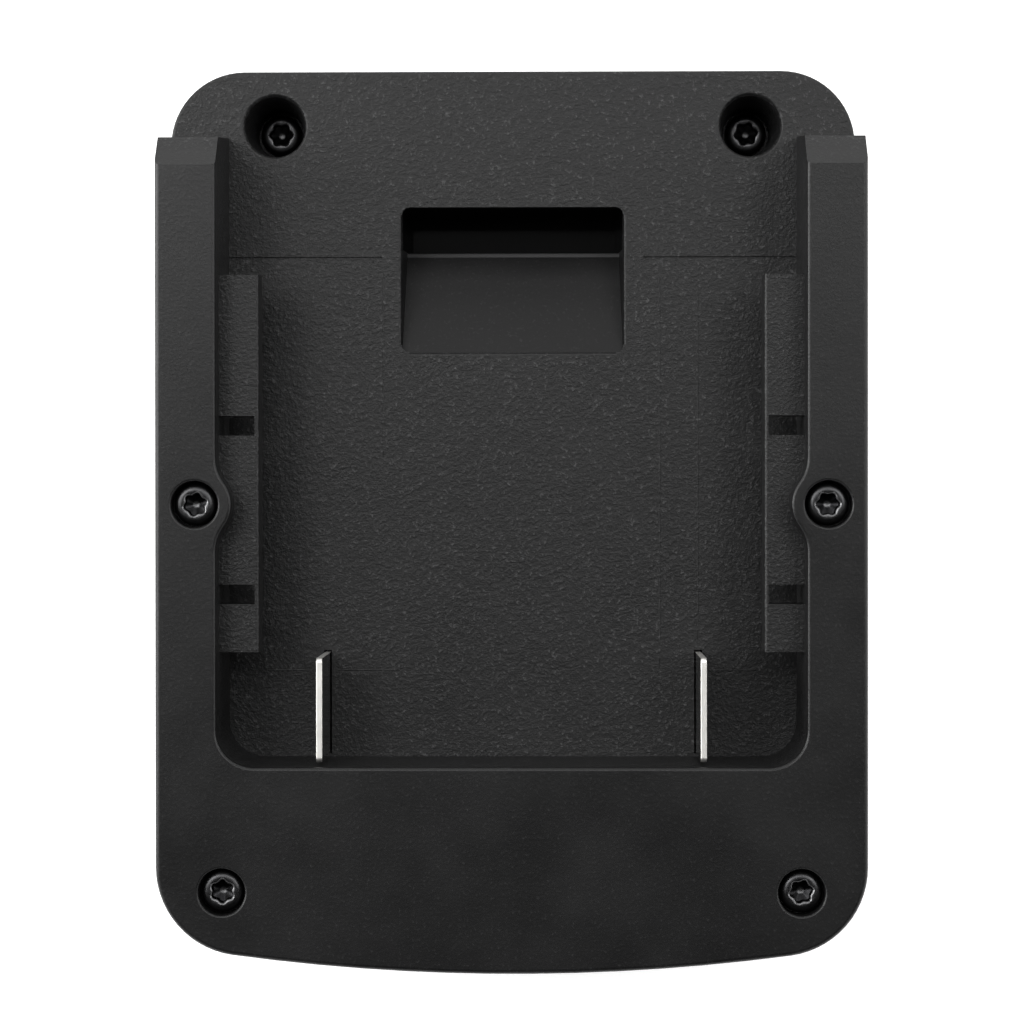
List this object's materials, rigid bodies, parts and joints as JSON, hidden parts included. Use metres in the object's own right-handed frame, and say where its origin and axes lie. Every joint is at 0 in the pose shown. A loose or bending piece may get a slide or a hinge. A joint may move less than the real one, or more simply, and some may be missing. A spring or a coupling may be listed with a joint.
{
  "type": "tool battery adapter",
  "caption": "Slide-on battery adapter: moulded tray with notched rails, blade contacts and catch pocket on top, T block with sprung catch and thumb release below.",
  "frame": {"origin": "centre of the footprint, on the flat slide face of the T block that the adapter rests on", "axes": "+X across to the right as seen into the bay with the entry end away from the viewer, +Y towards the entry end where the battery slides in, +Z out of the battery bay"},
  "size_m": [0.072, 0.093, 0.04],
  "materials": {
    "black_housing": "fine spark-eroded grain",
    "black_button": "fine grain with raised ribs",
    "inner_plastic": "plain moulded",
    "plated_blade": "nickel plated sheet",
    "contact_bronze": "bare spring bronze",
    "black_screw": "black oxide",
    "zinc_screw": "zinc plated",
    "spring_steel": "bright spring wire",
    "red_lead": "smooth insulation",
    "black_lead": "smooth insulation"
  },
  "bodies": {
    "housing": {"battery_tray": "black_housing", "tool_side_cover": "black_housing", "positive_blade": "plated_blade", "negative_blade": "plated_blade", "blade_retainer": "inner_plastic", "retainer_screws": "zinc_screw", "contact_carrier": "inner_plastic", "carrier_screws": "zinc_screw", "positive_contact": "contact_bronze", "negative_contact": "contact_bronze", "positive_lead": "red_lead", "negative_lead": "black_lead", "left_latch_spring": "spring_steel", "right_latch_spring": "spring_steel", "entry_end_screws": "black_screw", "rail_screws": "black_screw", "closed_end_screws": "black_screw"},
    "latch": {"latch_slider": "inner_plastic", "release_button": "black_button"}
  },
  "joints": [
    {"name": "latch_slide", "type": "slide", "parent": "housing", "child": "latch", "axis": [0, 0, 1], "range_m": [0, 0.0035], "stiffness_N_per_m": 600, "springref_m": -0.003, "deforming": ["left_latch_spring", "right_latch_spring"]}
  ]
}
